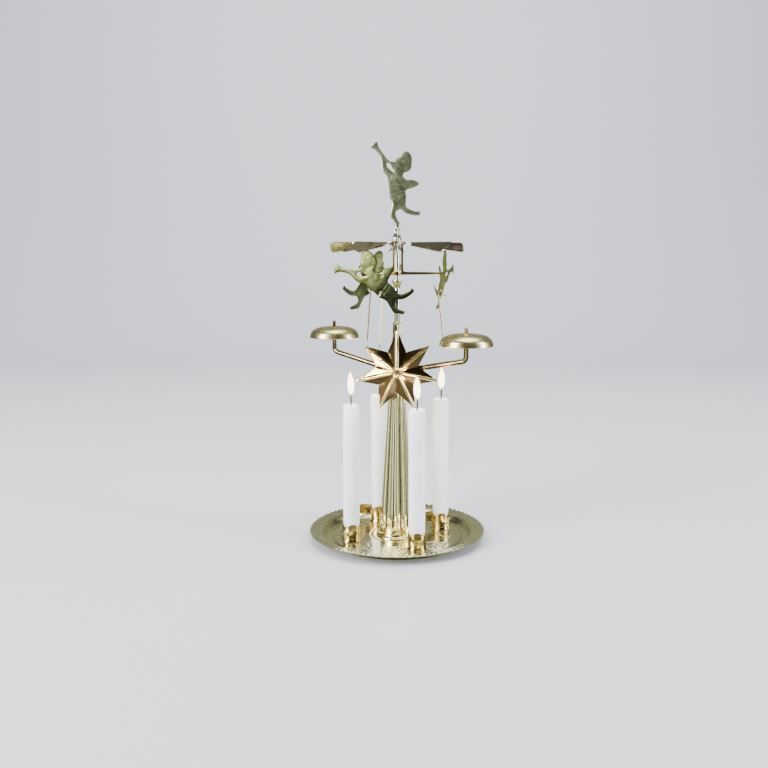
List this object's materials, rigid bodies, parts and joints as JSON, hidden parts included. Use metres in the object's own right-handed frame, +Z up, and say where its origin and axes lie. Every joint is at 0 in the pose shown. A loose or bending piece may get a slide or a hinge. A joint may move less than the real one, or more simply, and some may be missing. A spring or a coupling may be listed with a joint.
{
  "type": "candle chime",
  "caption": "Table candle chime: a vane wheel turned by candle heat carries trumpeting angels whose wire strikers ring domed bells above a pressed tray.",
  "frame": {"origin": "on the column's axis at the ground, in the middle of the tray's foot ring", "axes": "+Z up along the column and needle, +X to the viewer's right, +Y away from the viewer who faces the star"},
  "size_m": [0.142, 0.137, 0.3062],
  "materials": {
    "lacquered_tin": "satin gold lacquer over pressed tinplate",
    "polished_gold": "polished gold lacquer",
    "wheel_gold": "polished gold lacquer, smoke-toned",
    "angel_gold": "embossed gold sheet, matte",
    "bright_steel": "bright drawn wire and tube",
    "dark_rivet": "dark",
    "wax": "white wax",
    "wick": "burnt cotton"
  },
  "bodies": {
    "base": {"tray": "lacquered_tin", "foot_cup": "lacquered_tin", "column": "polished_gold", "ferrule": "lacquered_tin", "rod": "bright_steel", "rod_nut": "bright_steel", "tube": "bright_steel", "stop_collar": "lacquered_tin", "needle": "bright_steel", "star": "polished_gold", "star_spacer": "lacquered_tin", "star_rivet": "dark_rivet", "arm_band": "lacquered_tin", "arm_left": "polished_gold", "arm_right": "polished_gold", "arm_rivet_left": "dark_rivet", "arm_rivet_right": "dark_rivet", "clip_1": "polished_gold", "clip_2": "polished_gold", "clip_3": "polished_gold", "clip_4": "polished_gold"},
    "rotor": {"vane_wheel": "wheel_gold", "crown_cap": "lacquered_tin", "pivot_bearing": "bright_steel", "hanger_ring": "lacquered_tin", "hanger_1": "lacquered_tin", "hanger_2": "lacquered_tin", "hanger_3": "lacquered_tin", "angel_1": "angel_gold", "angel_2": "angel_gold", "angel_3": "angel_gold", "top_angel": "angel_gold"},
    "striker_1": {"striker_1": "bright_steel"},
    "striker_2": {"striker_2": "bright_steel"},
    "striker_3": {"striker_3": "bright_steel"},
    "bell_left": {"bell_left": "polished_gold"},
    "bell_right": {"bell_right": "polished_gold"},
    "candle_1": {"candle_1": "wax", "wick_1": "wick"},
    "candle_2": {"candle_2": "wax", "wick_2": "wick"},
    "candle_3": {"candle_3": "wax", "wick_3": "wick"},
    "candle_4": {"candle_4": "wax", "wick_4": "wick"}
  },
  "joints": [
    {"name": "rotor_spin", "type": "hinge", "parent": "base", "child": "rotor", "pos_m": [0, 0, 0.2378], "axis": [0, 0, 1], "continuous": true},
    {"name": "striker_1_swing", "type": "hinge", "parent": "rotor", "child": "striker_1", "pos_m": [0.03472, 0.00637, 0.19293], "axis": [0.9836, 0.1805, 0], "range_deg": [-20, 20]},
    {"name": "striker_2_swing", "type": "hinge", "parent": "rotor", "child": "striker_2", "pos_m": [-0.02288, 0.02688, 0.19293], "axis": [-0.6481, 0.7615, 0], "range_deg": [-20, 20]},
    {"name": "striker_3_swing", "type": "hinge", "parent": "rotor", "child": "striker_3", "pos_m": [-0.01184, -0.03325, 0.19293], "axis": [-0.3355, -0.9421, 0], "range_deg": [-20, 20]},
    {"name": "bell_left_rock", "type": "hinge", "parent": "base", "child": "bell_left", "pos_m": [-0.05083, 0.0339, 0.1623], "axis": [-0.832, 0.5548, 0], "range_deg": [-4, 4]},
    {"name": "bell_right_rock", "type": "hinge", "parent": "base", "child": "bell_right", "pos_m": [0.05083, -0.0339, 0.1623], "axis": [0.832, -0.5548, 0], "range_deg": [-4, 4]},
    {"name": "candle_1_lift", "type": "slide", "parent": "base", "child": "candle_1", "axis": [0, 0, 1], "range_m": [0, 0.016]},
    {"name": "candle_2_lift", "type": "slide", "parent": "base", "child": "candle_2", "axis": [0, 0, 1], "range_m": [0, 0.016]},
    {"name": "candle_3_lift", "type": "slide", "parent": "base", "child": "candle_3", "axis": [0, 0, 1], "range_m": [0, 0.016]},
    {"name": "candle_4_lift", "type": "slide", "parent": "base", "child": "candle_4", "axis": [0, 0, 1], "range_m": [0, 0.016]}
  ]
}
